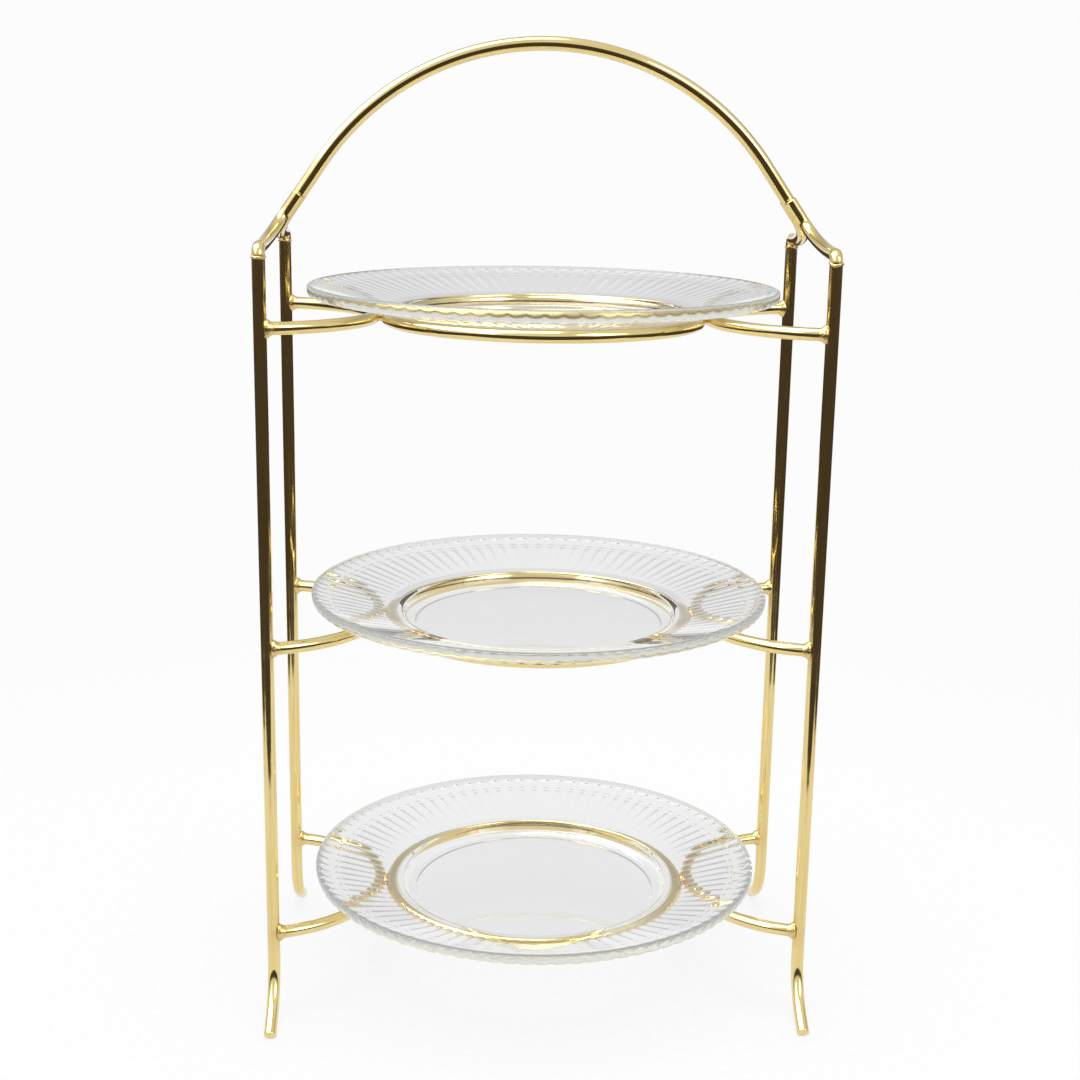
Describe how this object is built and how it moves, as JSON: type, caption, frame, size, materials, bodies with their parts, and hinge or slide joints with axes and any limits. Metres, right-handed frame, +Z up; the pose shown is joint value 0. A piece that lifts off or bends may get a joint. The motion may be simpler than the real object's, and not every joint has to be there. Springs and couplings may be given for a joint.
{
  "type": "tiered cake stand",
  "caption": "Tall wire-frame cake stand with a round arch handle, out-curved feet and loose ribbed glass plates, each resting in a hoop held between the legs by bowed side brackets.",
  "frame": {"origin": "on the floor, under the middle of the stand", "axes": "+X to the stand's right, -Y to its front, +Z up"},
  "size_m": [0.3068, 0.262, 0.5454],
  "materials": {
    "gold_plate": "polished gold-coloured plating on steel rod",
    "clear_glass": "clear pressed glass, fire-polished"
  },
  "bodies": {
    "stand": {"leg_front_left": "gold_plate", "leg_front_right": "gold_plate", "leg_back_left": "gold_plate", "leg_back_right": "gold_plate", "fork_arm_front_left": "gold_plate", "fork_arm_front_right": "gold_plate", "fork_arm_back_left": "gold_plate", "fork_arm_back_right": "gold_plate", "handle_arch": "gold_plate", "ring_bottom": "gold_plate", "ring_middle": "gold_plate", "ring_top": "gold_plate", "bracket_left_bottom": "gold_plate", "bracket_left_middle": "gold_plate", "bracket_left_top": "gold_plate", "bracket_right_bottom": "gold_plate", "bracket_right_middle": "gold_plate", "bracket_right_top": "gold_plate"},
    "bottom_plate": {"plate_bottom": "clear_glass"},
    "middle_plate": {"plate_middle": "clear_glass"},
    "top_plate": {"plate_top": "clear_glass"}
  },
  "joints": [
    {"name": "lift_bottom_plate", "type": "slide", "parent": "stand", "child": "bottom_plate", "axis": [0, 0, 1], "range_m": [0, 0.03]},
    {"name": "lift_middle_plate", "type": "slide", "parent": "stand", "child": "middle_plate", "axis": [0, 0, 1], "range_m": [0, 0.03]},
    {"name": "lift_top_plate", "type": "slide", "parent": "stand", "child": "top_plate", "axis": [0, 0, 1], "range_m": [0, 0.03]}
  ]
}
